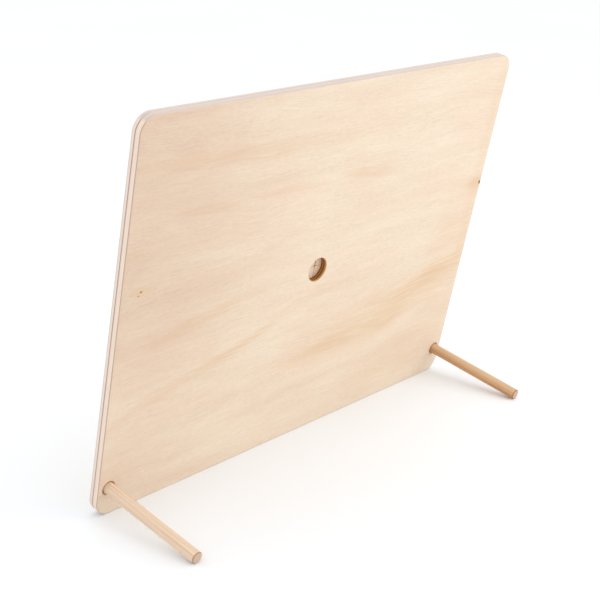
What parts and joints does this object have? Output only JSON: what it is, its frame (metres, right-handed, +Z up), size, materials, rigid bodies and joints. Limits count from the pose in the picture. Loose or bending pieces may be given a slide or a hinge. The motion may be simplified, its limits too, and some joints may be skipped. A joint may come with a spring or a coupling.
{
  "type": "weaving loom",
  "caption": "Table-top weaving loom: a plywood tray of notched weaving boards, with a finger hole behind them, that leans back on plug-in dowel legs.",
  "frame": {"origin": "middle of the underside of the whole loom's box, on the surface that it stands on", "axes": "+X across the loom to the right as seen from the weaving side, +Y from the weaving side towards the legs, +Z up"},
  "size_m": [0.53, 0.1388, 0.394],
  "materials": {
    "panel_plywood": "clear matt lacquer on light plywood",
    "frame_plywood": "clear matt lacquer on light plywood",
    "board_plywood": "clear matt lacquer on light plywood",
    "leg_left_beech": "sanded warm brown hardwood dowel",
    "leg_right_beech": "sanded light hardwood dowel"
  },
  "bodies": {
    "tray": {"rear_panel": "panel_plywood", "front_frame": "frame_plywood"},
    "leg_left": {"leg_left": "leg_left_beech"},
    "leg_right": {"leg_right": "leg_right_beech"},
    "weaving_board_upper_left": {"weaving_board_upper_left": "board_plywood"},
    "weaving_board_upper_right": {"weaving_board_upper_right": "board_plywood"},
    "weaving_board_lower_left": {"weaving_board_lower_left": "board_plywood"},
    "weaving_board_lower_right": {"weaving_board_lower_right": "board_plywood"}
  },
  "joints": [
    {"name": "leg_left_slide", "type": "slide", "parent": "tray", "child": "leg_left", "axis": [0, 0.9799, -0.1996], "range_m": [0, 0.015]},
    {"name": "leg_right_slide", "type": "slide", "parent": "tray", "child": "leg_right", "axis": [0, 0.9799, -0.1996], "range_m": [0, 0.015]},
    {"name": "weaving_board_upper_left_lift_out", "type": "slide", "parent": "tray", "child": "weaving_board_upper_left", "axis": [0, -0.9799, 0.1996], "range_m": [0, 0.03]},
    {"name": "weaving_board_upper_right_lift_out", "type": "slide", "parent": "tray", "child": "weaving_board_upper_right", "axis": [0, -0.9799, 0.1996], "range_m": [0, 0.03]},
    {"name": "weaving_board_lower_left_lift_out", "type": "slide", "parent": "tray", "child": "weaving_board_lower_left", "axis": [0, -0.9799, 0.1996], "range_m": [0, 0.03]},
    {"name": "weaving_board_lower_right_lift_out", "type": "slide", "parent": "tray", "child": "weaving_board_lower_right", "axis": [0, -0.9799, 0.1996], "range_m": [0, 0.03]}
  ]
}
